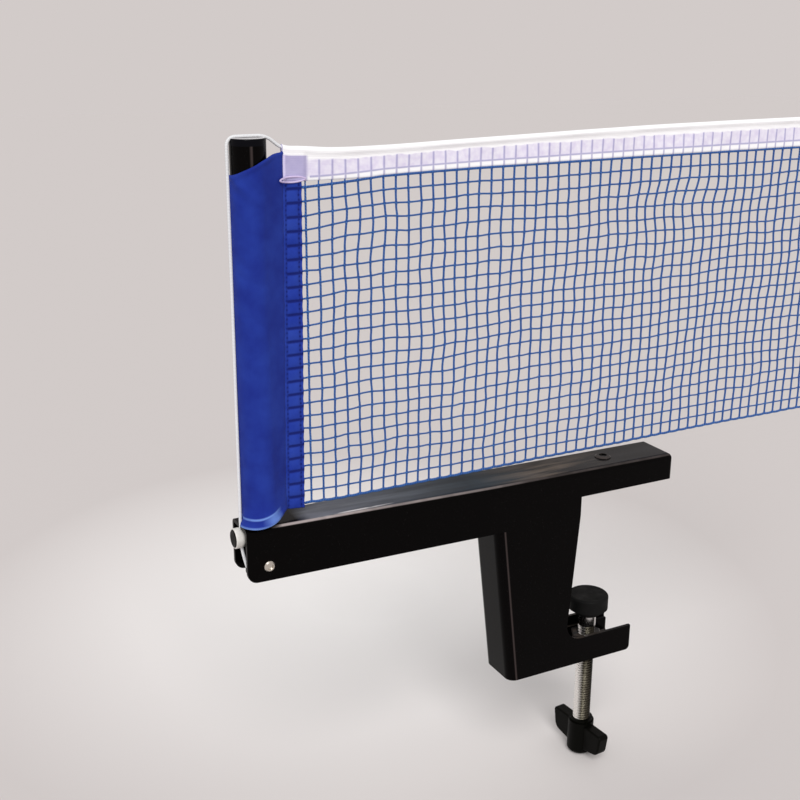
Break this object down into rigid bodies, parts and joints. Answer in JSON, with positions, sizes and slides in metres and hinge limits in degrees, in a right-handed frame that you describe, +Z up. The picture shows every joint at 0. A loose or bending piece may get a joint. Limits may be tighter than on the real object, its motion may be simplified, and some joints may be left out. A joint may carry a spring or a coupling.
{
  "type": "table tennis net clamp",
  "caption": "Folded steel bracket with a screw jaw for the edge of a table top, a fixed post at its outer end and the end of a corded mesh net with sleeve and top tape.",
  "frame": {"origin": "centre of the jaw pad's lower face, which rests on the table top", "axes": "+X along the net towards the middle of the table, +Y along the table's edge, +Z up"},
  "size_m": [0.2937, 0.0324, 0.2884],
  "materials": {
    "gloss_black_steel": "gloss black stove enamel",
    "zinc_plated_steel": "bright zinc plate with rolled thread",
    "chromed_steel": "polished chrome plate",
    "rivet_steel": "plain bright rivet steel",
    "black_rubber": "matt black rubber",
    "black_plastic": "moulded, satin",
    "gloss_black_plastic": "moulded, glossy",
    "white_plastic": "moulded, satin",
    "white_cord": "braided cord",
    "blue_fabric": "woven royal blue sleeve",
    "net_twine": "knotted blue twine",
    "white_tape": "woven white tape"
  },
  "bodies": {
    "clamp_frame": {"arm_channel": "gloss_black_steel", "column_channel": "gloss_black_steel", "lower_jaw_channel": "gloss_black_steel", "clamp_nut": "gloss_black_steel", "jaw_pad": "black_rubber", "pad_rivet": "gloss_black_steel", "post_tube": "gloss_black_steel", "post_cap": "gloss_black_plastic", "post_foot_plug": "black_plastic", "post_rivet": "rivet_steel", "tension_cord": "white_cord", "cord_stop": "white_plastic", "cord_stop_plug": "black_plastic", "net_sleeve": "blue_fabric", "sleeve_hem": "blue_fabric", "net_mesh": "net_twine", "net_bottom_cord": "net_twine", "net_top_tape": "white_tape"},
    "pressure_foot": {"swivel_cup": "chromed_steel", "pressure_pad": "black_rubber"},
    "screw": {"clamp_screw": "zinc_plated_steel", "wing_knob": "black_plastic"}
  },
  "joints": [
    {"name": "clamp_travel", "type": "slide", "parent": "clamp_frame", "child": "pressure_foot", "axis": [0, 0, 1], "range_m": [-0.004, 0.034]},
    {"name": "screw_turn", "type": "hinge", "parent": "pressure_foot", "child": "screw", "pos_m": [-0.0095, 0, -0.1], "axis": [0, 0, 1], "range_deg": [-1153, 9793]}
  ],
  "couplings": [
    {"joint": "screw_turn", "follows": "clamp_travel", "rad_per_m": 5026.5}
  ]
}
